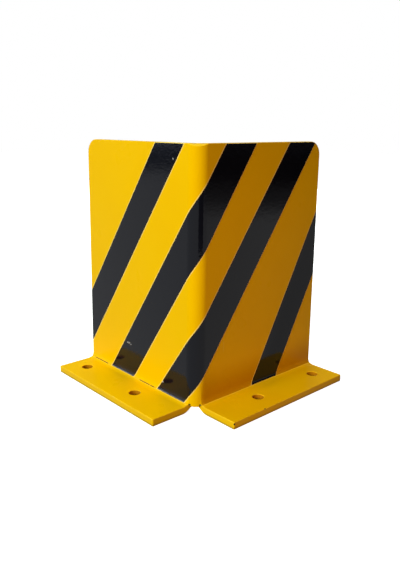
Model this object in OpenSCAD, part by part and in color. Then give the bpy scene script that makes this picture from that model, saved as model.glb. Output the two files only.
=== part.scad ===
// Column corner guard: a steel plate folded into two walls round an upright
// corner, with a foot turned out from the bottom of each wall. Four strips of
// gloss film lie aslant on the outer faces.
// X runs along one wall, Y along the other, and Z up from the floor.

/* [Walls] */
// Height of the guard above the floor
guard_h = 350; // [200:5:600]
// Length of each wall, from the outer corner to its end
wall_l = 240; // [200:5:400]
// Thickness of the plate
plate_t = 10; // [6:0.5:12]
// Rounding of the top corner at each wall's end
top_corner_r = 20; // [5:1:50]

/* [Bends] */
// Inside radius of the upright bend between the walls
corner_bend_r = 8; // [4:0.5:16]
// Inside radius of the bend between each wall and its foot
foot_bend_r = 10; // [6:0.5:16]
// Depth of the crease that the punch leaves along the middle of each foot bend
bend_crease = 1.6; // [0.2:0.1:2]
// How far the bend draws its outer edge down at the top
bend_dip = 3; // [0.5:0.5:5]

/* [Feet] */
// Reach of each foot from the outer face of its wall
foot_w = 60; // [50:1:120]
// Distance from the outer corner to the near end of each foot
foot_start = 12; // [8:0.5:20]
// Height of the lower edge of the walls between the feet
nose_h = 9; // [5:0.5:11]
// Width of the relief slit beside each foot
slit_w = 1.5; // [0.5:0.25:3]
// Height of the relief slit above the lower edge of the walls
slit_h = 3; // [1:0.5:5]

/* [Anchor holes] */
// Diameter of each hole
hole_d = 16; // [8:0.5:22]
// Distance between the two holes of a foot
hole_pitch = 120; // [60:5:130]
// Distance from a hole's centre to the front edge of the foot
hole_edge = 30; // [15:1:32]
// Distance from the outer hole's centre to the far end of the foot
hole_end = 30; // [15:1:40]

/* [Film strips] */
// Width of each strip
strip_w = 46; // [20:1:60]
// Thickness of the film
strip_t = 0.3; // [0.1:0.05:1]
// How far round the foot bend each strip reaches, short of the crease
strip_wrap = 44; // [10:1:44]
// Centre line of the first strip at half height, measured round the walls from the middle of the bend
strip_1_place = -169; // [-250:1:250]
// Angle between the first strip and the floor
strip_1_angle = 55.5; // [45:0.5:70]
// Centre line of the second strip at half height, measured round the walls from the middle of the bend
strip_2_place = -45; // [-250:1:250]
// Angle between the second strip and the floor
strip_2_angle = 56; // [45:0.5:70]
// Centre line of the third strip at half height, measured round the walls from the middle of the bend
strip_3_place = 72; // [-250:1:250]
// Angle between the third strip and the floor
strip_3_angle = 54.5; // [45:0.5:70]
// Centre line of the last strip at half height, measured round the walls from the middle of the bend
strip_4_place = 220; // [-250:1:250]
// Angle between the last strip and the floor
strip_4_angle = 61; // [45:0.5:70]

/* [Hidden] */
$fn = 96;
strip_place = [strip_1_place, strip_2_place, strip_3_place, strip_4_place];
strip_lean = [strip_1_angle, strip_2_angle, strip_3_angle, strip_4_angle];

// Outside radii of the bends
corner_r = corner_bend_r + plate_t;
foot_r = foot_bend_r + plate_t;
// From the centre of a foot bend to its crease
crease_reach = foot_bend_r + bend_crease;
// Shift of centre and radius of the arcs that run from the wall and from the foot into the crease
side_shift = (crease_reach ^ 2 - foot_bend_r ^ 2) / (2 * foot_bend_r - sqrt(2) * crease_reach);
side_r = foot_bend_r + side_shift;
// Height at which a wall runs into its foot bend
foot_top = plate_t + foot_bend_r;
// Half the length of the outer face round the upright bend
half_arc = corner_r * PI / 4;
// Sectors that make up a strip round the upright bend
bend_steps = 12;
// Overrun that carries a cut clear of a face
over = 1;

// Moves the outer corner so that the origin is at the middle of the footprint
module at_footprint_middle() {
    middle = (wall_l - foot_w) / 2;
    translate([-middle, -middle, 0]) children();
}

// Draws its children on the wall along X and mirrored on the wall along Y
module on_both_walls() {
    children();
    mirror([1, -1, 0]) children();
}

// Sets a profile drawn in Y and Z along X, from x0 to x1
module along_x(x0, x1) {
    translate([x0, 0, 0]) rotate([90, 0, 90]) linear_extrude(x1 - x0) children();
}

// Plan of a square with the corner nearest the origin rounded
module corner_plan(inset, r, far) {
    side = far - inset;
    translate([inset, inset]) {
        translate([r, r]) circle(r);
        translate([r, 0]) square([side - r, side]);
        translate([0, r]) square([side, side - r]);
    }
}

// Plan of the two walls and the bend between them
module walls_plan() {
    difference() {
        corner_plan(0, corner_r, wall_l);
        corner_plan(plate_t, corner_bend_r, wall_l + over);
    }
}

// Hollow of a foot bend about its centre: two arcs that meet at the crease
module bend_hollow() {
    intersection() {
        translate([-side_shift, 0]) circle(side_r);
        translate([0, side_shift]) circle(side_r);
    }
}

// Section of a foot and its bend, with the wall's outer face on Y = 0
module foot_section() {
    translate([-foot_w, 0]) square([foot_w - foot_bend_r, plate_t]);
    translate([-foot_bend_r, foot_top]) intersection() {
        difference() {
            circle(foot_r);
            bend_hollow();
        }
        translate([0, -foot_r]) square(foot_r);
    }
}

// Stock outside the rounded top corner of the wall along X
module top_corner_waste() {
    depth = plate_t + strip_t + 2 * over;
    translate([wall_l - top_corner_r, plate_t + over, guard_h - top_corner_r])
        rotate([90, 0, 0]) linear_extrude(depth) difference() {
            square(top_corner_r + over);
            circle(top_corner_r);
        }
}

// Stock that the upright bend draws down at its top outer edge
module bend_dip_waste() {
    reach = corner_r * (1 / sqrt(2) + 1 - sqrt(2));
    slope = atan(bend_dip / reach);
    side = 2 * corner_r;
    translate([corner_r / 2, corner_r / 2, guard_h]) rotate([0, -slope, 45])
        translate([-side, -side / 2, 0]) cube([side, side, side]);
}

module walls() {
    translate([0, 0, foot_top]) linear_extrude(guard_h - foot_top) walls_plan();
    // The nose: the bend carried down between the feet
    translate([0, 0, nose_h]) linear_extrude(foot_top - nose_h) intersection() {
        walls_plan();
        square(foot_start);
    }
}

module anchor_holes() {
    for (i = [0:1])
        translate([wall_l - hole_end - i * hole_pitch, hole_edge - foot_w, -over])
            cylinder(d = hole_d, h = plate_t + 2 * over);
}

module relief_slit() {
    translate([foot_start - slit_w, -over, nose_h - over])
        cube([slit_w, foot_start + over, slit_h + over]);
}

module folded_plate() {
    color([0.96, 0.74, 0.02]) at_footprint_middle() difference() {
        union() {
            walls();
            on_both_walls() along_x(foot_start, wall_l) foot_section();
        }
        on_both_walls() {
            anchor_holes();
            relief_slit();
            top_corner_waste();
        }
        bend_dip_waste();
    }
}

// Height of a strip's centre line at a distance round the walls
function strip_z(u, place, lean) = guard_h / 2 + (u - place) * tan(lean);

// Distance round the walls of a strip's centre line at a height
function strip_u(z, place, lean) = place + (z - guard_h / 2) / tan(lean);

// Section of the film on a wall and part of the way round its foot bend
module film_section() {
    translate([-strip_t, foot_top]) square([strip_t, guard_h - foot_top]);
    translate([-foot_bend_r, foot_top]) intersection() {
        translate([-side_shift, 0]) difference() {
            circle(side_r);
            circle(side_r - strip_t);
        }
        polygon([[0, 0], [2 * foot_bend_r, 0], 2 * foot_bend_r * [cos(strip_wrap), -sin(strip_wrap)]]);
    }
}

// The part of a strip that lies on the wall along X
module strip_on_wall(place, lean) {
    half_w = abs(strip_w / sin(lean) / 2);
    low = strip_u(-over, place, lean) + corner_r - half_arc;
    high = strip_u(guard_h + over, place, lean) + corner_r - half_arc;
    difference() {
        intersection() {
            along_x(foot_start, wall_l) film_section();
            rotate([90, 0, 0]) linear_extrude(foot_bend_r) polygon([
                [low - half_w, -over],
                [low + half_w, -over],
                [high + half_w, guard_h + over],
                [high - half_w, guard_h + over]
            ]);
        }
        top_corner_waste();
        // The wall face ends where the upright bend starts
        translate([0, -foot_bend_r, foot_top]) cube([corner_r, foot_bend_r + over, guard_h]);
    }
}

// The part of a strip that runs round the upright bend
module strip_on_bend(place, lean) {
    half_h = strip_w / cos(lean) / 2;
    step = 90 / bend_steps;
    // Facets touch the bend's outer face at their middle
    r = corner_r / cos(step / 2);
    intersection() {
        translate([corner_r, corner_r, 0]) for (i = [0:bend_steps - 1])
            hull() for (a = [i * step - 45, (i + 1) * step - 45])
                translate([0, 0, strip_z(corner_r * a * PI / 180, place, lean) - half_h])
                    rotate([0, 0, 225 + a]) translate([r, 0, 0]) cube([strip_t, 0.01, 2 * half_h]);
        difference() {
            translate([-over, -over, foot_top])
                cube([corner_r + over, corner_r + over, guard_h - foot_top]);
            bend_dip_waste();
        }
    }
}

module strip(i) {
    place = strip_place[i];
    lean = strip_lean[i];
    half_w = strip_w / sin(lean) / 2;
    lowest = strip_u(foot_top, place, lean) - half_w;
    highest = strip_u(guard_h, place, lean) + half_w;
    color([0.09, 0.09, 0.1]) at_footprint_middle() {
        if (highest > half_arc) strip_on_wall(place, lean);
        if (lowest < half_arc && highest > -half_arc) strip_on_bend(place, lean);
        if (lowest < -half_arc) mirror([1, -1, 0]) strip_on_wall(-place, -lean);
    }
}

folded_plate();
for (i = [0:len(strip_place) - 1])
    strip(i);
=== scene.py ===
# Column corner guard: a folded and powder-coated steel plate with four strips of gloss film.
# The plate and the strips are drawn flat, as they are cut, and one node tree folds them all.
import math

import bmesh
import bpy
from mathutils import Euler, Matrix, Vector
from mathutils.geometry import delaunay_2d_cdt


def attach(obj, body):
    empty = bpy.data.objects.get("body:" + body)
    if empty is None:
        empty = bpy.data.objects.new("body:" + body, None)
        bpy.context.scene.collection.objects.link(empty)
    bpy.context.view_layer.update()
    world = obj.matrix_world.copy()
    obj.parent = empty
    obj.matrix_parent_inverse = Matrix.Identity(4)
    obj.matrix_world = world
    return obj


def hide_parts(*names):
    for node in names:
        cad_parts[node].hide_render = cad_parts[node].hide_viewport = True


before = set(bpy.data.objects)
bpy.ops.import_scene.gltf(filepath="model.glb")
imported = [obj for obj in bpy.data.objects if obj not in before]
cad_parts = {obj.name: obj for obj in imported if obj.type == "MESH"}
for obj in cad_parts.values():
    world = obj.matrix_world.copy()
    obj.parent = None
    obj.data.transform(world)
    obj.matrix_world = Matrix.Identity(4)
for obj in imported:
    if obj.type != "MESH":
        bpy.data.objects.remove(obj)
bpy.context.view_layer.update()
print("frame: loaded", len(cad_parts), "nodes")

cameraSettings = {
    "place": (-0.5795, -0.6234, 0.3712),
    "heading": 48.28,  # degrees from +X towards +Y
    "pitch": -12.26,
    "roll": 0.52,
    "lens": 37.99,
    "sensor": 36,
    "shift": (0.0211, -0.0512),
}


def addObject(name, data):
    added = bpy.data.objects.new(name, data)
    bpy.context.collection.objects.link(added)
    return added


def makeCamera(s):
    data = bpy.data.cameras.new("guardCamera")
    data.lens = s["lens"]
    data.sensor_width = s["sensor"]
    data.shift_x, data.shift_y = s["shift"]
    look = Euler((math.radians(90 + s["pitch"]), 0, math.radians(s["heading"] - 90))).to_matrix()
    turn = look @ Matrix.Rotation(math.radians(s["roll"]), 3, "Z")
    camera = addObject("guardCamera", data)
    camera.matrix_world = Matrix.Translation(s["place"]) @ turn.to_4x4()
    bpy.context.scene.camera = camera


makeCamera(cameraSettings)
print("camera: placed")


# Links a socket, or sets it when the value is a plain number or vector
def feed(tree, socket, value):
    if isinstance(value, bpy.types.NodeSocket):
        tree.links.new(value, socket)
    else:
        socket.default_value = value


def calc(tree, operation, *values):
    node = tree.nodes.new("ShaderNodeMath")
    node.operation = operation
    for place, value in enumerate(values):
        feed(tree, node.inputs[place], value)
    return node.outputs[0]


def vectorCalc(tree, operation, *values):
    node = tree.nodes.new("ShaderNodeVectorMath")
    node.operation = operation
    for place, value in enumerate(values):
        feed(tree, node.inputs[place], value)
    return node.outputs["Value" if operation in ("LENGTH", "DISTANCE", "DOT_PRODUCT") else "Vector"]


def product(tree, result, *others):
    for other in others:
        result = calc(tree, "MULTIPLY", result, other)
    return result


# 0 below low and 1 above high, easing between them
def ease(tree, value, low, high):
    node = tree.nodes.new("ShaderNodeMapRange")
    node.interpolation_type = "SMOOTHSTEP"
    feed(tree, node.inputs["Value"], value)
    feed(tree, node.inputs["From Min"], low)
    feed(tree, node.inputs["From Max"], high)
    return node.outputs["Result"]


def channels(tree, vector):
    node = tree.nodes.new("ShaderNodeSeparateXYZ")
    tree.links.new(vector, node.inputs[0])
    return node.outputs


# A number part of the way from first to second
def between(tree, share, first, second):
    return calc(tree, "MULTIPLY_ADD", share, calc(tree, "SUBTRACT", second, first), first)


def newTree(name, kind, inputs, outputs):
    tree = bpy.data.node_groups.new(name, kind)
    for label, socketType, value in inputs:
        socket = tree.interface.new_socket(name=label, in_out="INPUT", socket_type=socketType)
        if value is not None:
            socket.default_value = value
    for label, socketType in outputs:
        tree.interface.new_socket(name=label, in_out="OUTPUT", socket_type=socketType)
    return tree, tree.nodes.new("NodeGroupInput"), tree.nodes.new("NodeGroupOutput")


plateSettings = {
    "height": 0.350,
    "wallLength": 0.240,
    "thickness": 0.010,
    "topCornerRadius": 0.020,
    "bendRadius": 0.018,  # outside radius of the upright bend
    "notchRadius": 0.015,  # the same at its foot, where the notch lets it close up
    "closeUpHeight": 0.045,  # height above the feet over which it does
    "footBend": 0.010,  # inside radius of the foot bends
    "creaseDepth": 0.0016,  # left by the punch along the middle of each foot bend
    "creaseBlend": 0.02,  # takes the sharpness off the crease
    "footWidth": 0.060,
    "footStart": 0.012,
    "noseHeight": 0.009,
    "slitWidth": 0.0017,
    "slitTop": 0.012,
    "slitCornerRadius": 0.0007,
    "lipWidth": 0.0018,  # over which the nose gives way to the foot
    "lipHeight": 0.014,  # height above the feet at which it has stopped doing so
    "topDip": 0.003,  # the upright bend's outer edge is drawn down this far
    "dipHeight": 0.014,  # starting this far below the top
    "holeRadius": 0.008,
    "holePitch": 0.120,
    "holeEdge": 0.030,
    "holeEnd": 0.030,
    "cornerRadius": 0.0013,
    "rimRadius": 0.0009,
    "rimSteps": 3,
    "wallStep": 0.013,  # how closely the flat sheet is divided along the walls
    "bendStep": 0.0012,  # and round the upright bend
    "footStep": 0.008,
    "footBendStep": 0.0011,
    "creaseRows": (0.0004, 0.00015),  # distance of extra rows from the crease
    "rowStep": 0.020,
    "fineRowStep": 0.002,
    "fineRowHeight": 0.016,  # rows lie closer this near the foot bends and the top
}

footLevel = plateSettings["thickness"] + plateSettings["footBend"]
footBendEnd = footLevel - plateSettings["footBend"] * math.pi / 2
footFront = footBendEnd - (plateSettings["footWidth"] - plateSettings["footBend"])
middle = (plateSettings["wallLength"] - plateSettings["footWidth"]) / 2
creaseLevel = footLevel - plateSettings["footBend"] * math.pi / 4
halfArc = plateSettings["bendRadius"] * math.pi / 4
bendSpare = 1 - math.pi / 4
bendMiddle = math.radians(225)  # direction of the bend's middle from its centre

sheetSettings = {
    "leastSteps": 3,  # on a rounded corner
    "cornerSteps": 2,  # for each radian of a corner of the unit radius, and more on a larger one
    "unitRadius": 0.001,
    "holeSteps": 48,
    "pointGap": 0.0005,  # points on an outline stay this far apart
    "rimGap": 0.0007,  # and the points of the faces stay this far inside the rim
    "thick": 0.005,  # a thicker sheet has a row of points along the middle of its cut face
    "cutFaceEdge": 0.2,  # value of the edge layer there
    "mergeDistance": 1e-7,
}


# Distance round the outer face, from the middle of the bend, of a point this far from the sharp corner
def roundFace(x):
    return x - plateSettings["bendRadius"] * bendSpare


# Rounds the corners of an outline given as (u, v, radius). Each point of the result carries the
# direction into the sheet, which lies on the left of the outline
def roundLoop(corners):
    points = []
    for before, here, after in zip(corners[-1:] + corners[:-1], corners, corners[1:] + corners[:1]):
        a = (Vector(here[:2]) - Vector(before[:2])).normalized()
        b = (Vector(after[:2]) - Vector(here[:2])).normalized()
        turn = math.atan2(a.x * b.y - a.y * b.x, a.dot(b))
        side = math.copysign(1, turn)
        radius = here[2]
        start = Vector(here[:2]) - a * radius * math.tan(abs(turn) / 2)
        centre = start + Vector((-a.y, a.x)) * side * radius
        size = math.sqrt(radius / sheetSettings["unitRadius"])
        count = round(abs(turn) * size * sheetSettings["cornerSteps"])
        count = max(sheetSettings["leastSteps"], count)
        for i in range(count + 1):
            inward = Matrix.Rotation(turn * i / count, 2) @ Vector((-a.y, a.x))
            place = centre - inward * side * radius
            points.append((place.x, place.y, inward.x, inward.y))
    return points


def holeLoop(u, v, radius):
    count = sheetSettings["holeSteps"]
    turns = [-2 * math.pi * i / count for i in range(count)]
    return [(u + radius * math.cos(t), v + radius * math.sin(t), math.cos(t), math.sin(t)) for t in turns]


# Flat outline of the plate, anticlockwise, and its four holes, clockwise
def plateLoops(s):
    end = roundFace(s["wallLength"])
    start = roundFace(s["footStart"])
    lip = start - s["slitWidth"]
    r = s["cornerRadius"]
    slitRadius = s["slitCornerRadius"]
    half = [(lip, s["noseHeight"], r), (lip, s["slitTop"], slitRadius), (start, s["slitTop"], slitRadius)]
    half += [(start, footFront, r), (end, footFront, r), (end, s["height"], s["topCornerRadius"])]
    loops = [roundLoop(half + [(-u, v, radius) for u, v, radius in reversed(half)])]
    for u in (end - s["holeEnd"], end - s["holeEnd"] - s["holePitch"]):
        loops.append(holeLoop(u, footFront + s["holeEdge"], s["holeRadius"]))
        loops.append(holeLoop(-u, footFront + s["holeEdge"], s["holeRadius"]))
    return loops


def steps(start, end, size):
    count = max(1, round((end - start) / size))
    return [start + (end - start) * i / count for i in range(count + 1)]


# Places round the face at which a flat sheet is divided
def latticeColumns(s):
    side = steps(halfArc, roundFace(plateSettings["wallLength"]), s["wallStep"])[1:]
    return [-u for u in reversed(side)] + steps(-halfArc, halfArc, s["bendStep"]) + side


# Heights at which the flat plate is divided: close together where it bends
def plateRows(s):
    outer, inner = s["creaseRows"]
    rows = steps(footFront, footBendEnd, s["footStep"])
    rows += steps(rows[-1], creaseLevel - outer, s["footBendStep"])[1:]
    rows += [creaseLevel - inner, creaseLevel, creaseLevel + inner]
    rows += steps(creaseLevel + outer, footLevel, s["footBendStep"])
    rows += steps(footLevel, footLevel + s["fineRowHeight"], s["fineRowStep"])[1:]
    rows += steps(rows[-1], s["height"] - s["fineRowHeight"], s["rowStep"])[1:]
    rows += steps(rows[-1], s["height"], s["fineRowStep"])[1:]
    return rows


# Adds the points at which an outline crosses the lattice, so that its edges bend with the sheet
def refineLoop(loop, columns, rows):
    gap = sheetSettings["pointGap"]
    refined = []
    for here, after in zip(loop, loop[1:] + loop[:1]):
        (u0, v0), (u1, v1) = here[:2], after[:2]
        cuts = [(c - u0) / (u1 - u0) for c in columns if (c - u0) * (c - u1) < 0]
        cuts += [(r - v0) / (v1 - v0) for r in rows if (r - v0) * (r - v1) < 0]
        length = math.hypot(u1 - u0, v1 - v0)
        refined.append(here)
        last = 0.0
        for cut in sorted(cuts):
            if (cut - last) * length > gap and (1 - cut) * length > gap:
                inward = ((v0 - v1) / length, (u1 - u0) / length)
                refined.append((u0 + (u1 - u0) * cut, v0 + (v1 - v0) * cut, *inward))
                last = cut
    return refined


def insetLoop(loop, distance):
    return [(u + inU * distance, v + inV * distance) for u, v, inU, inV in loop]


def insideLoops(point, loops):
    u, v = point
    inside = False
    for loop in loops:
        for (u0, v0), (u1, v1) in zip(loop, loop[1:] + loop[:1]):
            if (v0 > v) != (v1 > v) and u < (u1 - u0) * (v - v0) / (v1 - v0) + u0:
                inside = not inside
    return inside


# A flat sheet with rounded rims, its outer face up. The edge layer is 1 on the rims and 0 on the faces, the
# bore layer is 1 inside the holes, and the flatNormal layer keeps the true normal of each point
def makeSheet(name, loops, lattice, faces, rim, rimSteps):
    columns, rows = lattice
    face, back = faces
    loops = [refineLoop(loops[0], columns, rows)] + loops[1:]
    profile = [(rim, face, 0.0, 0.0)]
    for i in range(1, rimSteps + 1):
        turn = math.pi / 2 * i / rimSteps
        profile.append((rim * (1 - math.sin(turn)), face - rim * (1 - math.cos(turn)), turn, 1.0))
    if face - back > sheetSettings["thick"]:
        profile.append((0, (face + back) / 2, math.pi / 2, sheetSettings["cutFaceEdge"]))
    below = [(inset, face + back - height, math.pi - turn, edge) for inset, height, turn, edge in profile]
    profile += below[rimSteps::-1]

    bm = bmesh.new()
    edgeLayer = bm.verts.layers.float.new("edge")
    boreLayer = bm.verts.layers.float.new("bore")
    normalLayer = bm.verts.layers.float_vector.new("flatNormal")

    def addVert(u, v, height, normal, edge=0.0, bore=0.0):
        vert = bm.verts.new((u, v, height))
        vert[normalLayer] = normal
        vert[edgeLayer] = edge
        vert[boreLayer] = bore
        return vert

    rings = []
    for inset, height, turn, edge in profile:
        out, up = math.sin(turn), math.cos(turn)
        ring = []
        for number, loop in enumerate(loops):
            normals = [(-inU * out, -inV * out, up) for _, _, inU, inV in loop]
            bore = 1.0 if number and inset == 0 else 0.0
            places = insetLoop(loop, inset)
            ring.append([addVert(u, v, height, n, edge, bore) for (u, v), n in zip(places, normals)])
        rings.append(ring)
    for upper, lower in zip(rings, rings[1:]):
        for a, b in zip(upper, lower):
            for i in range(len(a)):
                j = (i + 1) % len(a)
                bm.faces.new((a[i], b[i], b[j], a[j]))

    inner = [insetLoop(loop, rim) for loop in loops]
    clear = [insetLoop(loop, rim + sheetSettings["rimGap"]) for loop in loops]
    points = [Vector(p) for loop in inner for p in loop]
    rimCount = len(points)
    points += [Vector((c, r)) for r in rows for c in columns if insideLoops((c, r), clear)]
    borders = []
    first = 0
    for loop in inner:
        borders += [(first + i, first + (i + 1) % len(loop)) for i in range(len(loop))]
        first += len(loop)
    # Kind 1 leaves out the slivers that lie outside a straight border
    merge = sheetSettings["mergeDistance"]
    flat, _, triangles, origins, _, _ = delaunay_2d_cdt(points, borders, [], 1, merge)
    for ring, height, up in ((rings[0], face, 1), (rings[-1], back, -1)):
        rimVerts = [vert for loop in ring for vert in loop]
        verts = []
        for place, origin in zip(flat, origins):
            known = [k for k in origin if k < rimCount]
            verts.append(rimVerts[known[0]] if known else addVert(place.x, place.y, height, (0, 0, up)))
        for triangle in triangles:
            centre = sum((flat[k] for k in triangle), Vector((0, 0))) / len(triangle)
            if insideLoops(centre, inner):
                bm.faces.new([verts[k] for k in triangle[::up]])
    for bmFace in bm.faces:
        bmFace.smooth = True
    mesh = bpy.data.meshes.new(name)
    bm.to_mesh(mesh)
    bm.free()
    return addObject(name, mesh)


foldSizes = [
    ("Bend Radius", plateSettings["bendRadius"]),
    ("Notch Radius", plateSettings["notchRadius"]),
    ("Close Up Height", plateSettings["closeUpHeight"]),
    ("Foot Bend", plateSettings["footBend"]),
    ("Crease Depth", plateSettings["creaseDepth"]),
    ("Crease Blend", plateSettings["creaseBlend"]),
    ("Thickness", plateSettings["thickness"]),
    ("Foot Level", footLevel),
    ("Foot Start", roundFace(plateSettings["footStart"])),
    ("Lip Width", plateSettings["lipWidth"]),
    ("Lip Height", plateSettings["lipHeight"]),
    ("Height", plateSettings["height"]),
    ("Top Dip", plateSettings["topDip"]),
    ("Dip Height", plateSettings["dipHeight"]),
    ("Middle", middle),
]


# Folds one point of the flat sheet. U runs round the outer face from the middle of the upright bend, and V
# is the height; below the foot level V goes on round the foot bend and out along the foot
def makePointFold():
    inputs = [("Flat", "NodeSocketVector", None)]
    inputs += [(label, "NodeSocketFloat", value) for label, value in foldSizes]
    tree, given, result = newTree("foldPoint", "GeometryNodeTree", inputs, [("Folded", "NodeSocketVector")])
    size = given.outputs
    u, v, lift = channels(tree, size["Flat"])
    run = calc(tree, "ABSOLUTE", u)

    # Upright bend, closing up a little towards the notch
    closeTop = calc(tree, "ADD", size["Foot Level"], size["Close Up Height"])
    closeUp = ease(tree, v, size["Foot Level"], closeTop)
    radius = between(tree, closeUp, size["Notch Radius"], size["Bend Radius"])
    spare = calc(tree, "MULTIPLY", calc(tree, "SUBTRACT", size["Bend Radius"], radius), bendSpare)
    fullArc = calc(tree, "MULTIPLY", size["Bend Radius"], math.pi / 4)
    share = calc(tree, "MINIMUM", calc(tree, "DIVIDE", run, fullArc), 1.0)
    along = calc(tree, "MULTIPLY_ADD", share, spare, run)
    arc = calc(tree, "MULTIPLY", radius, math.pi / 4)
    turn = calc(tree, "DIVIDE", calc(tree, "MINIMUM", along, arc), radius)
    beyond = calc(tree, "MAXIMUM", calc(tree, "SUBTRACT", along, arc), 0.0)
    angle = calc(tree, "ADD", turn, bendMiddle)
    reach = calc(tree, "ADD", radius, lift)
    wallX = calc(tree, "MULTIPLY_ADD", reach, calc(tree, "COSINE", angle), calc(tree, "ADD", radius, beyond))
    wallY = calc(tree, "MULTIPLY_ADD", reach, calc(tree, "SINE", angle), radius)

    # Foot bend and foot
    below = calc(tree, "MAXIMUM", calc(tree, "SUBTRACT", size["Foot Level"], v), 0.0)
    footTurn = calc(tree, "MINIMUM", calc(tree, "DIVIDE", below, size["Foot Bend"]), math.pi / 2)
    footArc = calc(tree, "MULTIPLY", size["Foot Bend"], math.pi / 2)
    past = calc(tree, "MAXIMUM", calc(tree, "SUBTRACT", below, footArc), 0.0)

    # Two wider arcs meet at the punch's crease on the face; the back keeps a plain arc
    creaseReach = calc(tree, "ADD", size["Foot Bend"], size["Crease Depth"])
    bendTwice = calc(tree, "MULTIPLY", size["Foot Bend"], 2.0)
    surplus = calc(tree, "MULTIPLY", calc(tree, "ADD", creaseReach, size["Foot Bend"]), size["Crease Depth"])
    room = calc(tree, "MULTIPLY_ADD", creaseReach, -math.sqrt(2), bendTwice)
    shift = calc(tree, "DIVIDE", surplus, room)
    cosine = calc(tree, "COSINE", footTurn)
    nearest = calc(tree, "SMOOTH_MAX", cosine, calc(tree, "SINE", footTurn), size["Crease Blend"])
    aside = calc(tree, "MULTIPLY", shift, nearest)
    across = calc(tree, "MULTIPLY_ADD", shift, 2.0, size["Foot Bend"])
    square = calc(tree, "MULTIPLY", size["Foot Bend"], across)
    root = calc(tree, "SQRT", calc(tree, "MULTIPLY_ADD", aside, aside, square))
    bulge = calc(tree, "SUBTRACT", calc(tree, "SUBTRACT", root, aside), size["Foot Bend"])
    depth = calc(tree, "MINIMUM", calc(tree, "ADD", calc(tree, "DIVIDE", lift, size["Thickness"]), 1.0), 1.0)
    footReach = calc(tree, "SUBTRACT", calc(tree, "MULTIPLY_ADD", bulge, depth, size["Foot Bend"]), lift)
    footX = calc(tree, "MULTIPLY_ADD", size["Bend Radius"], bendSpare, run)
    out = calc(tree, "ADD", size["Foot Bend"], past)
    footY = calc(tree, "SUBTRACT", calc(tree, "MULTIPLY", footReach, cosine), out)
    drop = calc(tree, "MULTIPLY", footReach, calc(tree, "SINE", footTurn))
    footZ = calc(tree, "SUBTRACT", calc(tree, "MAXIMUM", v, size["Foot Level"]), drop)

    # The plate gives way to the foot between the nose and the near end of the foot
    lipStart = calc(tree, "SUBTRACT", size["Foot Start"], size["Lip Width"])
    lipSide = ease(tree, run, lipStart, size["Foot Start"])
    lipTop = ease(tree, v, calc(tree, "ADD", size["Foot Level"], size["Lip Height"]), size["Foot Level"])
    give = calc(tree, "MULTIPLY", lipSide, lipTop)
    x = between(tree, give, wallX, footX)
    y = between(tree, give, wallY, footY)
    z = between(tree, give, v, footZ)

    # The bend draws its outer edge down at the top
    chord = calc(tree, "MULTIPLY", radius, math.sqrt(0.5))
    proud = calc(tree, "SUBTRACT", calc(tree, "MULTIPLY", reach, calc(tree, "COSINE", turn)), chord)
    drawn = calc(tree, "DIVIDE", calc(tree, "MAXIMUM", proud, 0.0), calc(tree, "SUBTRACT", radius, chord))
    nearTop = ease(tree, v, calc(tree, "SUBTRACT", size["Height"], size["Dip Height"]), size["Height"])
    dip = calc(tree, "MULTIPLY", calc(tree, "MULTIPLY", drawn, size["Top Dip"]), nearTop)

    # The other wall is the same with X and Y changed over
    left = calc(tree, "LESS_THAN", u, 0.0)
    place = tree.nodes.new("ShaderNodeCombineXYZ")
    feed(tree, place.inputs[0], calc(tree, "SUBTRACT", between(tree, left, x, y), size["Middle"]))
    feed(tree, place.inputs[1], calc(tree, "SUBTRACT", between(tree, left, y, x), size["Middle"]))
    feed(tree, place.inputs[2], calc(tree, "SUBTRACT", z, dip))
    tree.links.new(place.outputs[0], result.inputs[0])
    return tree


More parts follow.
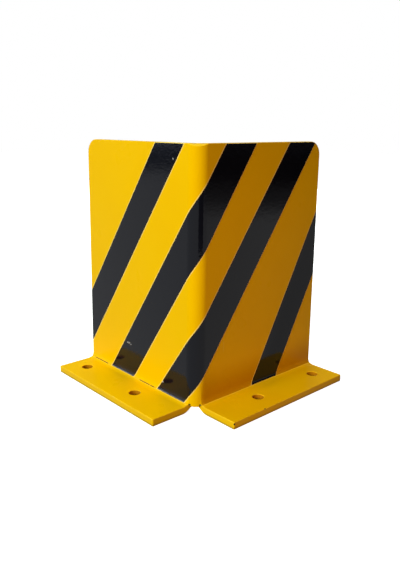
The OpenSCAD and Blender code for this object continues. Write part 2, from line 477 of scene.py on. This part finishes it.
# Folds a whole sheet and turns its kept normals with it
def makeFoldTree(pointFold):
    inputs = [("Geometry", "NodeSocketGeometry", None)]
    inputs += [(label, "NodeSocketFloat", value) for label, value in foldSizes]
    inputs += [("Material", "NodeSocketMaterial", None)]
    outputs = [("Geometry", "NodeSocketGeometry")]
    tree, given, result = newTree("foldSheet", "GeometryNodeTree", inputs, outputs)
    position = tree.nodes.new("GeometryNodeInputPosition").outputs[0]
    small = 0.0001  # the sheet's slope is measured over this distance

    def folded(offset):
        node = tree.nodes.new("GeometryNodeGroup")
        node.node_tree = pointFold
        tree.links.new(vectorCalc(tree, "ADD", position, offset), node.inputs["Flat"])
        for label, _ in foldSizes:
            tree.links.new(given.outputs[label], node.inputs[label])
        return node.outputs[0]

    place = folded((0, 0, 0))
    alongU = vectorCalc(tree, "SUBTRACT", folded((small, 0, 0)), place)
    alongV = vectorCalc(tree, "SUBTRACT", folded((0, small, 0)), place)
    alongLift = vectorCalc(tree, "SUBTRACT", folded((0, 0, small)), place)
    flatNormal = tree.nodes.new("GeometryNodeInputNamedAttribute")
    flatNormal.data_type = "FLOAT_VECTOR"
    flatNormal.inputs["Name"].default_value = "flatNormal"
    normal = None
    shares = channels(tree, flatNormal.outputs[0])
    for share, first, second in zip(shares, (alongV, alongLift, alongU), (alongLift, alongU, alongV)):
        across = vectorCalc(tree, "CROSS_PRODUCT", first, second)
        weight = tree.nodes.new("ShaderNodeCombineXYZ")
        for channel in weight.inputs:
            tree.links.new(calc(tree, "MULTIPLY", share, small ** -2), channel)
        across = vectorCalc(tree, "MULTIPLY", across, weight.outputs[0])
        normal = across if normal is None else vectorCalc(tree, "ADD", normal, across)
    normal = vectorCalc(tree, "NORMALIZE", normal)

    flow = given.outputs["Geometry"]
    for name, value in (("flatPlace", position), ("foldedNormal", normal)):
        keep = tree.nodes.new("GeometryNodeStoreNamedAttribute")
        keep.data_type = "FLOAT_VECTOR"
        keep.inputs["Name"].default_value = name
        tree.links.new(flow, keep.inputs["Geometry"])
        tree.links.new(value, keep.inputs["Value"])
        flow = keep.outputs[0]
    fold = tree.nodes.new("GeometryNodeSetPosition")
    tree.links.new(flow, fold.inputs["Geometry"])
    tree.links.new(place, fold.inputs["Position"])
    realize = tree.nodes.new("GeometryNodeRealizeInstances")
    tree.links.new(fold.outputs[0], realize.inputs[0])
    paint = tree.nodes.new("GeometryNodeSetMaterial")
    tree.links.new(realize.outputs[0], paint.inputs["Geometry"])
    tree.links.new(given.outputs["Material"], paint.inputs["Material"])
    tree.links.new(paint.outputs[0], result.inputs[0])
    return tree


foldTree = makeFoldTree(makePointFold())


# Folds a flat sheet and keeps the result as a plain mesh in the place of a CAD node
def foldPiece(sheet, name, node, material):
    modifier = sheet.modifiers.new("fold", "NODES")
    modifier.node_group = foldTree
    for item in foldTree.interface.items_tree:
        if item.item_type == "SOCKET" and item.in_out == "INPUT" and item.name == "Material":
            modifier[item.identifier] = material
    bpy.context.view_layer.update()
    mesh = bpy.data.meshes.new_from_object(sheet.evaluated_get(bpy.context.evaluated_depsgraph_get()))
    flatMesh = sheet.data
    bpy.data.objects.remove(sheet)
    bpy.data.meshes.remove(flatMesh)
    mesh.name = name
    normals = [item.vector for item in mesh.attributes["foldedNormal"].data]
    mesh.normals_split_custom_set_from_vertices(normals)
    for spent in ("flatNormal", "foldedNormal"):
        mesh.attributes.remove(mesh.attributes[spent])
    piece = addObject(name, mesh)
    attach(piece, "root")
    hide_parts(node)
    print("piece:", name, len(mesh.polygons), "faces")


def noiseAt(tree, vector, scale, detail=2.0):
    node = tree.nodes.new("ShaderNodeTexNoise")
    feed(tree, node.inputs["Vector"], vector)
    feed(tree, node.inputs["Scale"], scale)
    node.inputs["Detail"].default_value = detail
    return node.outputs[0]


# Ripple of a sprayed or laid surface, as a height
def makeRippleGroup():
    inputs = [("Vector", "NodeSocketVector", None), ("Coarse Scale", "NodeSocketFloat", 60.0)]
    inputs += [("Fine Scale", "NodeSocketFloat", 600.0), ("Fine Share", "NodeSocketFloat", 0.3)]
    tree, given, result = newTree("surfaceRipple", "ShaderNodeTree", inputs, [("Height", "NodeSocketFloat")])
    coarse = noiseAt(tree, given.outputs["Vector"], given.outputs["Coarse Scale"], 1.0)
    fine = noiseAt(tree, given.outputs["Vector"], given.outputs["Fine Scale"], 0.0)
    height = between(tree, given.outputs["Fine Share"], coarse, fine)
    tree.links.new(height, result.inputs[0])
    return tree


markSettings = {
    "noiseScale": 700,
    "raggedness": 1.2,  # the noise adds up to this share of the mark's size
    "leastSize": 0.4,
    "core": 0.6,  # share of the mark inside which it is full
}


# A small ragged mark at one place: 1 inside it, 0 outside
def makeMarkGroup(s):
    inputs = [("Vector", "NodeSocketVector", None), ("Place", "NodeSocketVector", (0, 0, 0))]
    inputs += [("Stretch", "NodeSocketVector", (1, 1, 1)), ("Size", "NodeSocketFloat", 0.002)]
    tree, given, result = newTree("raggedMark", "ShaderNodeTree", inputs, [("Mask", "NodeSocketFloat")])
    away = vectorCalc(tree, "SUBTRACT", given.outputs["Vector"], given.outputs["Place"])
    away = vectorCalc(tree, "LENGTH", vectorCalc(tree, "MULTIPLY", away, given.outputs["Stretch"]))
    noise = noiseAt(tree, given.outputs["Vector"], s["noiseScale"])
    ragged = calc(tree, "MULTIPLY_ADD", noise, s["raggedness"], s["leastSize"])
    size = calc(tree, "MULTIPLY", given.outputs["Size"], ragged)
    tree.links.new(ease(tree, away, size, calc(tree, "MULTIPLY", size, s["core"])), result.inputs[0])
    return tree


# How far outside a strip of film a point of the flat sheet lies
def makeBesideGroup():
    inputs = [("Vector", "NodeSocketVector", None), ("Centre", "NodeSocketVector", (0, 0, 0))]
    inputs += [("Across", "NodeSocketVector", (1, 0, 0)), ("Half Width", "NodeSocketFloat", 0.023)]
    tree, given, result = newTree("besideStrip", "ShaderNodeTree", inputs, [("Distance", "NodeSocketFloat")])
    away = vectorCalc(tree, "SUBTRACT", given.outputs["Vector"], given.outputs["Centre"])
    side = calc(tree, "ABSOLUTE", vectorCalc(tree, "DOT_PRODUCT", away, given.outputs["Across"]))
    tree.links.new(calc(tree, "SUBTRACT", side, given.outputs["Half Width"]), result.inputs[0])
    return tree


rippleGroup = makeRippleGroup()
markGroup = makeMarkGroup(markSettings)
besideGroup = makeBesideGroup()


def placeGroup(tree, group, values):
    node = tree.nodes.new("ShaderNodeGroup")
    node.node_tree = group
    for label, value in values.items():
        feed(tree, node.inputs[label], value)
    return node.outputs[0]


def attributeOf(tree, name, output):
    node = tree.nodes.new("ShaderNodeAttribute")
    node.attribute_name = name
    return node.outputs[output]


# Mixes two colours. Sockets 6, 7 and 2 of the node are the ones for colours
def mixColour(tree, share, first, second):
    node = tree.nodes.new("ShaderNodeMix")
    node.data_type = "RGBA"
    feed(tree, node.inputs["Factor"], share)
    feed(tree, node.inputs[6], first)
    feed(tree, node.inputs[7], second)
    return node.outputs[2]


def newMaterial(name):
    material = bpy.data.materials.new(name)
    material.use_nodes = True
    tree = material.node_tree
    shader = tree.nodes["Principled BSDF"]
    place = tree.nodes.new("ShaderNodeTexCoord").outputs["Object"]
    return material, tree, shader, place


# All the marks of a list, each given as (place, stretch, size)
def marksAt(tree, place, marks):
    marked = None
    for spot, stretch, size in marks:
        values = {"Vector": place, "Place": spot, "Stretch": stretch, "Size": size}
        mark = placeGroup(tree, markGroup, values)
        marked = mark if marked is None else calc(tree, "MAXIMUM", marked, mark)
    return marked


# Gives the shader its colour, its gloss and the ripple of its surface
def finishSurface(tree, shader, s, colour, rough, height):
    tree.links.new(colour, shader.inputs["Base Color"])
    tree.links.new(rough, shader.inputs["Roughness"])
    shader.inputs["Specular IOR Level"].default_value = s["specular"]
    shader.inputs["Specular Tint"].default_value = s["glossTint"]
    bump = tree.nodes.new("ShaderNodeBump")
    bump.inputs["Distance"].default_value = s["rippleDepth"]
    tree.links.new(height, bump.inputs["Height"])
    tree.links.new(bump.outputs[0], shader.inputs["Normal"])


stripSettings = {
    "width": 0.046,
    "thickness": 0.0003,
    "trim": 0.0008,  # how far a strip stops short of the plate's edges
    "wrap": 44,  # degrees round the foot bend, just short of the crease
    "cornerRadius": 0.0007,
    "rimRadius": 0.0001,
    "rimSteps": 2,
    "overrun": 0.05,  # length beyond the plate before a strip is cut to it
    "topCornerSteps": 15,
    "wallStep": 0.006,
    "bendStep": 0.0012,
    "wrapStep": 0.001,
    "rowStep": 0.0024,  # the film is divided this closely, because it crosses the bend aslant
    "strips": [  # place at half height, lean in degrees
        (-0.169, 55.5),
        (-0.045, 56.0),
        (0.072, 54.5),
        (0.220, 61.0),
    ],
}


# Distance from the nearest strip's edge on the flat sheet: negative under the film
def besideFilm(tree, flat):
    beside = None
    for place, lean in stripSettings["strips"]:
        tilt = math.radians(lean)
        values = {
            "Vector": flat,
            "Centre": (place, plateSettings["height"] / 2, 0),
            "Across": (math.sin(tilt), -math.cos(tilt), 0),
            "Half Width": stripSettings["width"] / 2,
        }
        gap = placeGroup(tree, besideGroup, values)
        beside = gap if beside is None else calc(tree, "MINIMUM", beside, gap)
    return beside


coatSettings = {
    "yellow": (0.92, 0.54, 0.0, 1),
    "shade": (0.87, 0.47, 0.0, 1),  # where the coat lies thinner
    "patchScale": 14,
    "patchEdge": (0.35, 0.75),
    "patchShare": 0.22,
    "mottleScale": 420,
    "mottleShare": 0.10,
    # lighter on the rounded rims: wear, and a painted highlight along the arrises
    "rimWearAndHighlightTone": (0.95, 0.60, 0.02, 1),
    "rimShare": 0.6,
    "roughness": (0.24, 0.34),
    "roughScale": 22,
    "specular": 0.10,
    "glossTint": (1.0, 0.85, 0.05, 1),
    "rippleDepth": 0.00003,
    "ripple": {"Coarse Scale": 180.0, "Fine Scale": 700.0, "Fine Share": 0.35},
    "bare": (0.035, 0.027, 0.02, 1),  # steel and primer under a chip
    "chipRoughness": 0.35,  # added to the coat's
    "chipDepth": -2.0,  # against the height of the ripple
    "chips": [  # place in metres, stretch, size
        ((0.150, -0.150, 0.004), (1.0, 1.0, 0.45), 0.0026),
        ((-0.150, 0.150, 0.001), (1.0, 1.0, 0.8), 0.0022),
        ((-0.0772, -0.150, 0.0075), (1.0, 1.0, 0.8), 0.0014),
        ((-0.090, 0.1500, 0.291), (1.0, 1.0, 0.7), 0.0018),
        ((-0.020, -0.150, 0.010), (0.6, 1.0, 1.0), 0.0011),
    ],
    "scuffTone": (0.97, 0.64, 0.08, 1),
    "scuffShare": 0.7,
    "scuffs": [  # the same, for light marks
        ((-0.0390, -0.090, 0.083), (16.0, 1.0, 0.9), 0.009),
        ((0.047, -0.150, 0.010), (0.5, 1.0, 1.0), 0.0009),
        ((-0.150, 0.061, 0.010), (1.0, 0.3, 1.0), 0.0009),
        ((-0.150, 0.008, 0.010), (1.0, 0.25, 1.0), 0.0009),
    ],
    "outerDepth": (-0.0030, -0.0008),  # the lines and dirt below are only on the outer face
    "footFrom": (0.0082, 0.0092),  # round the face from the middle of the bend
    "lineTone": (1.0, 0.74, 0.19, 1),  # pale line beside the film
    "lineEdge": (0.0016, 0.0007),  # from the film's edge
    "lineScale": 90,
    "lineUneven": (0.9, 0.4),
    "creaseHighlightTone": (0.97, 0.64, 0.03, 1),  # and a thin painted highlight along the crease
    "creaseEdge": (0.0007, 0.0003),
    "creaseDrop": 0.0008,  # its distance below the crease
    "creaseSoftness": 0.0003,
    # painted shade, low on the right wall and in the fold above the crease
    "deepShadeTone": (0.60, 0.29, 0.0, 1),
    "wallShadeHeight": (0.066, 0.018),
    "wallShadeFrom": (0.004, 0.016),  # round the face: only on the right wall
    "foldTop": 0.0018,  # painted shade in the fold, above the crease
    "foldBottom": 0.0006,
    "foldShare": 0.35,
    "cutTone": (0.10, 0.055, 0.004, 1),
    "cuts": [(-0.2265, -0.192), (-0.112, -0.0780)],  # where the knife went along the crease, round the face
    "cutSoftness": 0.001,
    "cutRise": 0.0002,
    "cutEdge": (0.0007, 0.0003),
    "dashScale": 110,
    "dashEdge": (0.30, 0.36),
    "boreShadeTone": (0.52, 0.21, 0.004, 1),  # painted shade inside the holes
    "slitShare": 0.9,  # the painted shade lies on the nose's side of the slit
    "slitEdge": (0.0011, 0.0007),
    "slitFoot": (0.0085, 0.0095),
    "slitHead": (0.0132, 0.0124),
    # painted shade where the plate meets the floor, and in the slit
    "lowShadeTone": (0.16, 0.10, 0.01, 1),
    "lowShadeHeight": 0.0045,
    "lowShadeShare": 0.65,
}


def makeCoat(s):
    material, tree, shader, place = newMaterial("powderCoat")
    edge = attributeOf(tree, "edge", "Fac")
    patches = ease(tree, noiseAt(tree, place, s["patchScale"]), *s["patchEdge"])
    mottle = noiseAt(tree, place, s["mottleScale"], 1.0)
    colour = mixColour(tree, product(tree, patches, s["patchShare"]), s["yellow"], s["shade"])
    colour = mixColour(tree, product(tree, mottle, s["mottleShare"]), colour, s["shade"])
    # Rims lighter: wear, and a painted highlight along the arrises
    colour = mixColour(tree, product(tree, edge, edge, s["rimShare"]), colour, s["rimWearAndHighlightTone"])

    # Places on the flat sheet: round the face, height, and depth below the outer face
    flat = attributeOf(tree, "flatPlace", "Vector")
    around, height, lift = channels(tree, flat)
    run = calc(tree, "ABSOLUTE", around)
    outer = ease(tree, lift, *s["outerDepth"])
    onWall = ease(tree, height, creaseLevel - s["creaseSoftness"], creaseLevel + s["creaseSoftness"])
    onFoot = ease(tree, run, *s["footFrom"])

    # Pale lines beside the film, and a painted highlight along the crease
    uneven = calc(tree, "MULTIPLY_ADD", noiseAt(tree, place, s["lineScale"]), *s["lineUneven"])
    filmLine = ease(tree, besideFilm(tree, flat), *s["lineEdge"])
    filmLine = product(tree, filmLine, onWall, outer, uneven)
    fromCrease = calc(tree, "ABSOLUTE", calc(tree, "SUBTRACT", height, creaseLevel - s["creaseDrop"]))
    creaseHighlight = product(tree, ease(tree, fromCrease, *s["creaseEdge"]), onFoot, outer, uneven)

    # Painted shade low on the right wall, and in the fold above the crease
    wallShade = product(tree, ease(tree, height, *s["wallShadeHeight"]), ease(tree, around, *s["wallShadeFrom"]))
    colour = mixColour(tree, product(tree, wallShade, onWall, outer), colour, s["deepShadeTone"])
    fold = ease(tree, height, creaseLevel + s["foldTop"], creaseLevel + s["foldBottom"])
    fold = product(tree, fold, onWall, onFoot, outer, s["foldShare"])
    colour = mixColour(tree, fold, colour, s["deepShadeTone"])
    colour = mixColour(tree, creaseHighlight, colour, s["creaseHighlightTone"])
    colour = mixColour(tree, filmLine, colour, s["lineTone"])

    # The knife's cuts, broken into dashes
    alongCut = None
    for start, end in s["cuts"]:
        after = ease(tree, around, start - s["cutSoftness"], start + s["cutSoftness"])
        before = ease(tree, around, end + s["cutSoftness"], end - s["cutSoftness"])
        stretch = product(tree, after, before)
        alongCut = stretch if alongCut is None else calc(tree, "ADD", alongCut, stretch)
    fromCut = calc(tree, "ABSOLUTE", calc(tree, "SUBTRACT", height, creaseLevel + s["cutRise"]))
    dashes = ease(tree, noiseAt(tree, place, s["dashScale"], 0.0), *s["dashEdge"])
    cut = product(tree, alongCut, ease(tree, fromCut, *s["cutEdge"]), dashes, outer)
    colour = mixColour(tree, cut, colour, s["cutTone"])

    # Painted shade in the holes and slits, and where the edges meet the floor
    colour = mixColour(tree, attributeOf(tree, "bore", "Fac"), colour, s["boreShadeTone"])
    slit = roundFace(plateSettings["footStart"]) - plateSettings["slitWidth"] * s["slitShare"]
    fromSlit = calc(tree, "ABSOLUTE", calc(tree, "SUBTRACT", run, slit))
    slitHigh = product(tree, ease(tree, height, *s["slitHead"]), ease(tree, height, *s["slitFoot"]))
    inSlit = product(tree, ease(tree, fromSlit, *s["slitEdge"]), slitHigh)
    lowShade = product(tree, ease(tree, channels(tree, place)[2], s["lowShadeHeight"], 0.0), s["lowShadeShare"])
    colour = mixColour(tree, calc(tree, "MAXIMUM", lowShade, inSlit), colour, s["lowShadeTone"])

    scuffed = product(tree, marksAt(tree, place, s["scuffs"]), s["scuffShare"])
    colour = mixColour(tree, scuffed, colour, s["scuffTone"])
    chipped = marksAt(tree, place, s["chips"])
    colour = mixColour(tree, chipped, colour, s["bare"])
    rough = between(tree, noiseAt(tree, place, s["roughScale"]), *s["roughness"])
    rough = calc(tree, "MULTIPLY_ADD", chipped, s["chipRoughness"], rough)
    ripple = placeGroup(tree, rippleGroup, {"Vector": place, **s["ripple"]})
    relief = calc(tree, "MULTIPLY_ADD", chipped, s["chipDepth"], ripple)
    finishSurface(tree, shader, s, colour, rough, relief)
    return material


filmSettings = {
    "black": (0.0045, 0.0052, 0.0082, 1),
    "edgeTone": (0.040, 0.017, 0.003, 1),  # the coat shows through the film's thin cut edge
    "edgeWidth": (-0.0011, -0.0003),
    "edgeShare": 0.9,
    "roughness": (0.05, 0.10),
    "roughScale": 30,
    "specular": 0.28,
    "glossTint": (0.95, 0.97, 1.0, 1),
    "rippleDepth": 0.00012,
    "ripple": {"Coarse Scale": 110.0, "Fine Scale": 420.0, "Fine Share": 0.45},
    # light specks on the film: scratches, and painted glints
    "scratchGlintTone": (0.55, 0.53, 0.50, 1),
    "scratchRoughness": 0.3,  # added to the film's
    "speckScale": 900,  # the scratches and painted glints are broken into specks
    "speckEdge": (0.35, 0.55),
    "scratchesAndGlints": [  # place in metres, stretch, size
        ((-0.0903, 0.0535, 0.0603), (1.0, 0.35, 1.0), 0.0016),
        ((-0.0903, 0.0480, 0.0590), (1.0, 0.5, 2.0), 0.0011),
        ((-0.0903, -0.0248, 0.0262), (1.0, 1.0, 1.0), 0.0020),
        ((-0.0903, -0.0449, 0.3305), (1.0, 1.4, 0.7), 0.0012),
    ],
}


def makeFilm(s):
    material, tree, shader, place = newMaterial("glossFilm")
    specks = ease(tree, noiseAt(tree, place, s["speckScale"], 0.0), *s["speckEdge"])
    scratchedAndGlinting = product(tree, marksAt(tree, place, s["scratchesAndGlints"]), specks)
    inward = besideFilm(tree, attributeOf(tree, "flatPlace", "Vector"))
    rim = product(tree, ease(tree, inward, *s["edgeWidth"]), s["edgeShare"])
    colour = mixColour(tree, rim, s["black"], s["edgeTone"])
    colour = mixColour(tree, scratchedAndGlinting, colour, s["scratchGlintTone"])
    rough = between(tree, noiseAt(tree, place, s["roughScale"]), *s["roughness"])
    rough = calc(tree, "MULTIPLY_ADD", scratchedAndGlinting, s["scratchRoughness"], rough)
    ripple = placeGroup(tree, rippleGroup, {"Vector": place, **s["ripple"]})
    finishSurface(tree, shader, s, colour, rough, ripple)
    return material


coat = makeCoat(coatSettings)
film = makeFilm(filmSettings)
print("materials: made")

flatPlate = makeSheet(
    "flatPlate",
    plateLoops(plateSettings),
    (latticeColumns(plateSettings), plateRows(plateSettings)),
    (0.0, -plateSettings["thickness"]),
    plateSettings["rimRadius"],
    plateSettings["rimSteps"],
)
foldPiece(flatPlate, "guardPlate", "folded_plate", coat)


# Cuts a convex outline with another one, both anticlockwise. A cut corner gets the small radius
def clipLoop(loop, cutter, radius):
    for (u0, v0), (u1, v1) in zip(cutter, cutter[1:] + cutter[:1]):
        kept = []
        heights = [(u1 - u0) * (v - v0) - (v1 - v0) * (u - u0) for u, v, _ in loop]
        for i, (u, v, r) in enumerate(loop):
            j = (i + 1) % len(loop)
            if heights[i] >= 0:
                kept.append((u, v, r))
            if heights[i] * heights[j] < 0:
                t = heights[i] / (heights[i] - heights[j])
                kept.append((u + (loop[j][0] - u) * t, v + (loop[j][1] - v) * t, radius))
        loop = kept
    return loop


stripBottom = footLevel - plateSettings["footBend"] * math.radians(stripSettings["wrap"])


# Flat outline of a strip, cut to the plate
def stripLoop(s, place, lean):
    slope = math.tan(math.radians(lean))
    half = s["width"] / 2 / math.sin(math.radians(lean))
    centre = plateSettings["height"] / 2
    low, high = -s["overrun"], plateSettings["height"] + s["overrun"]
    ends = ((-1, low), (1, low), (1, high), (-1, high))
    band = [(place + side * half + (v - centre) / slope, v, 0.0) for side, v in ends]
    end = roundFace(plateSettings["wallLength"]) - s["trim"]
    top = plateSettings["height"] - s["trim"]
    r = plateSettings["topCornerRadius"] - s["trim"]
    count = s["topCornerSteps"]
    turns = [math.radians(90 * i / count) for i in range(count + 1)]
    face = [(-end, stripBottom), (end, stripBottom)]
    face += [(end - r + r * math.cos(t), top - r + r * math.sin(t)) for t in turns]
    face += [(r - end - r * math.sin(t), top - r + r * math.cos(t)) for t in turns]
    return roundLoop(clipLoop(band, face, s["cornerRadius"]))


def stripRows(s):
    rows = steps(stripBottom, footLevel, s["wrapStep"])
    return rows + steps(footLevel, plateSettings["height"], s["rowStep"])[1:]


for number, (place, lean) in enumerate(stripSettings["strips"], 1):
    flatStrip = makeSheet(
        "flatStrip",
        [stripLoop(stripSettings, place, lean)],
        (latticeColumns(stripSettings), stripRows(stripSettings)),
        (stripSettings["thickness"], 0.0),
        stripSettings["rimRadius"],
        stripSettings["rimSteps"],
    )
    foldPiece(flatStrip, "filmStrip" + str(number), "strip_" + str(number), film)


# A flat four-sided backdrop
def makeBoard(name, corners, material):
    mesh = bpy.data.meshes.new(name)
    mesh.from_pydata(corners, [], [(0, 1, 2, 3)])
    mesh.materials.append(material)
    board = addObject(name, mesh)
    return board


floorSettings = {
    "size": 14.0,
    "grey": 0.12,  # what the lamps see
    "seenGrey": 0.8,  # what the camera sees
    "glow": 0.84,  # share of white that the camera sees without any light
    "glowEdge": (0.35, 1.1),
    "gloss": 0.60,  # level of the painted light that the film reflects, out to the edge of the lit floor
    "litCentre": (-0.85, 0.85, 0.0),
    "litEdge": (3.50, 2.85),
    "dimEdge": (4.7, 3.9),  # a dimmer ring beyond it
    "dimShare": 0.2,
    "rightShare": 0.66,  # painted shadow of the guard: the floor is dimmer beyond the right wall
    "rightAcross": (1.0, 1.4, 0.0),
    "rightEdge": (-0.15, -0.07),
    "rightFrom": (0.0, 0.1),
}


def makeFloor(s):
    material = bpy.data.materials.new("floorWhite")
    material.use_nodes = True
    tree = material.node_tree
    tree.nodes.clear()
    place = tree.nodes.new("ShaderNodeTexCoord").outputs["Object"]
    path = tree.nodes.new("ShaderNodeLightPath").outputs
    diffuse = tree.nodes.new("ShaderNodeBsdfDiffuse")
    grey = between(tree, path["Is Camera Ray"], s["grey"], s["seenGrey"])
    tree.links.new(between(tree, path["Is Glossy Ray"], grey, 0.0), diffuse.inputs["Color"])
    far = ease(tree, vectorCalc(tree, "LENGTH", place), *s["glowEdge"])
    seen = calc(tree, "MULTIPLY", between(tree, far, s["glow"], 1.0), path["Is Camera Ray"])
    # For gloss rays the floor glows: a painted pool of light with a dimmer ring, and a painted shadow beyond
    # the right wall
    away = vectorCalc(tree, "DISTANCE", place, s["litCentre"])
    near = between(tree, ease(tree, away, *s["litEdge"]), s["dimShare"], 1.0)
    beyond = ease(tree, vectorCalc(tree, "DOT_PRODUCT", place, s["rightAcross"]), *s["rightEdge"])
    rightSide = product(tree, beyond, ease(tree, channels(tree, place)[0], *s["rightFrom"]))
    sideShare = between(tree, rightSide, 1.0, s["rightShare"])
    lit = product(tree, near, ease(tree, away, *s["dimEdge"]), sideShare, s["gloss"])
    glow = tree.nodes.new("ShaderNodeEmission")
    tree.links.new(calc(tree, "MULTIPLY_ADD", lit, path["Is Glossy Ray"], seen), glow.inputs["Strength"])
    both = tree.nodes.new("ShaderNodeAddShader")
    tree.links.new(diffuse.outputs[0], both.inputs[0])
    tree.links.new(glow.outputs[0], both.inputs[1])
    out = tree.nodes.new("ShaderNodeOutputMaterial")
    tree.links.new(both.outputs[0], out.inputs[0])
    half = s["size"] / 2
    corners = [(-half, -half, 0), (half, -half, 0), (half, half, 0), (-half, half, 0)]
    makeBoard("studioFloor", corners, material)


makeFloor(floorSettings)

cardSettings = {
    "centre": (-0.364, -1.028),
    "width": 0.69,
    "height": 1.3,
    "towards": (-0.072, -0.072),
    "black": (0.004, 0.004, 0.005, 1),
    "roughness": 0.9,
}


# Stands behind the camera as a dark card does in a studio. Only the gloss sees it
def makeCard(s):
    centre = Vector(s["centre"])
    ahead = (Vector(s["towards"]) - centre).normalized()
    side = Vector((-ahead.y, ahead.x)) * s["width"] / 2
    feet = [centre - side, centre + side]
    corners = [(p.x, p.y, z) for z, pair in ((0.0, feet), (s["height"], feet[::-1])) for p in pair]
    material = bpy.data.materials.new("cardBlack")
    material.use_nodes = True
    shader = material.node_tree.nodes["Principled BSDF"]
    shader.inputs["Base Color"].default_value = s["black"]
    shader.inputs["Roughness"].default_value = s["roughness"]
    card = makeBoard("darkCard", corners, material)
    card.visible_camera = False
    card.visible_diffuse = False
    card.visible_shadow = False
    card.visible_transmission = False


makeCard(cardSettings)

lampSettings = {  # place, aimed at, size, watts, colour
    "keyLamp": ((-3.15, -0.39, 1.63), (0.0, 0.0, 0.15), 2.1, 120.0, (0.98, 1.0, 1.0)),
    "warmLamp": ((-0.12, -0.60, 0.22), (0.0, -0.09, 0.18), 0.3, 0.68, (1.0, 0.40, 0.15)),
    "topLamp": ((-0.27, -0.27, 2.32), (0.0, 0.0, 0.15), 1.3, 5.5, (1.0, 0.90, 0.75)),
    "backLamp": ((0.0, 1.10, 2.06), (0.0, 0.0, 0.15), 1.3, 20.0, (0.7, 1.0, 0.9)),
    "rearLamp": ((2.0, 2.0, 0.58), (0.0, 0.0, 0.18), 1.0, 38.0, (1.0, 0.98, 0.95)),
}


def makeLamps(lamps):
    for name, (place, target, size, watts, colour) in lamps.items():
        data = bpy.data.lights.new(name, "AREA")
        data.shape = "DISK"
        data.size = size
        data.energy = watts
        data.color = colour
        lamp = addObject(name, data)
        lamp.location = place
        lamp.rotation_euler = (Vector(target) - Vector(place)).to_track_quat("-Z", "Y").to_euler()
        lamp.visible_camera = False
        lamp.visible_glossy = False


makeLamps(lampSettings)

skySettings = {
    "ambient": 0.05,
    "openSide": 0.48,  # level of the horizon in the film towards the left, and towards the right
    "darkSide": 0.05,
    "sideEdge": (0.2, 1.2),
    "sky": 0.92,  # and of what is overhead
    "skyTone": (0.90, 0.93, 1.08, 1),
    "skyEdge": (0.35, 0.80),
    "window": (-0.70, 0.70, 0.14),  # direction of a bright patch that only gloss shows
    "windowEdge": (0.984, 0.994),
    "windowLevel": 3.8,
}


def makeSky(s):
    world = bpy.data.worlds.new("studioWorld")
    bpy.context.scene.world = world
    world.use_nodes = True
    tree = world.node_tree
    background = tree.nodes["Background"]
    path = tree.nodes.new("ShaderNodeLightPath").outputs
    direction = tree.nodes.new("ShaderNodeTexCoord").outputs["Generated"]
    east, north, up = channels(tree, direction)
    sideways = ease(tree, calc(tree, "SUBTRACT", north, east), *s["sideEdge"])
    horizon = between(tree, sideways, s["darkSide"], s["openSide"])
    sky = between(tree, ease(tree, up, *s["skyEdge"]), horizon, s["sky"])
    toWindow = vectorCalc(tree, "DOT_PRODUCT", direction, s["window"])
    sky = calc(tree, "MULTIPLY_ADD", ease(tree, toWindow, *s["windowEdge"]), s["windowLevel"], sky)
    level = between(tree, path["Is Glossy Ray"], s["ambient"], sky)
    level = between(tree, path["Is Camera Ray"], level, 1.0)
    toned = mixColour(tree, path["Is Glossy Ray"], (1, 1, 1, 1), s["skyTone"])
    tree.links.new(toned, background.inputs["Color"])
    tree.links.new(level, background.inputs["Strength"])


makeSky(skySettings)
print("studio: made")

bpy.context.scene.view_settings.view_transform = "Standard"
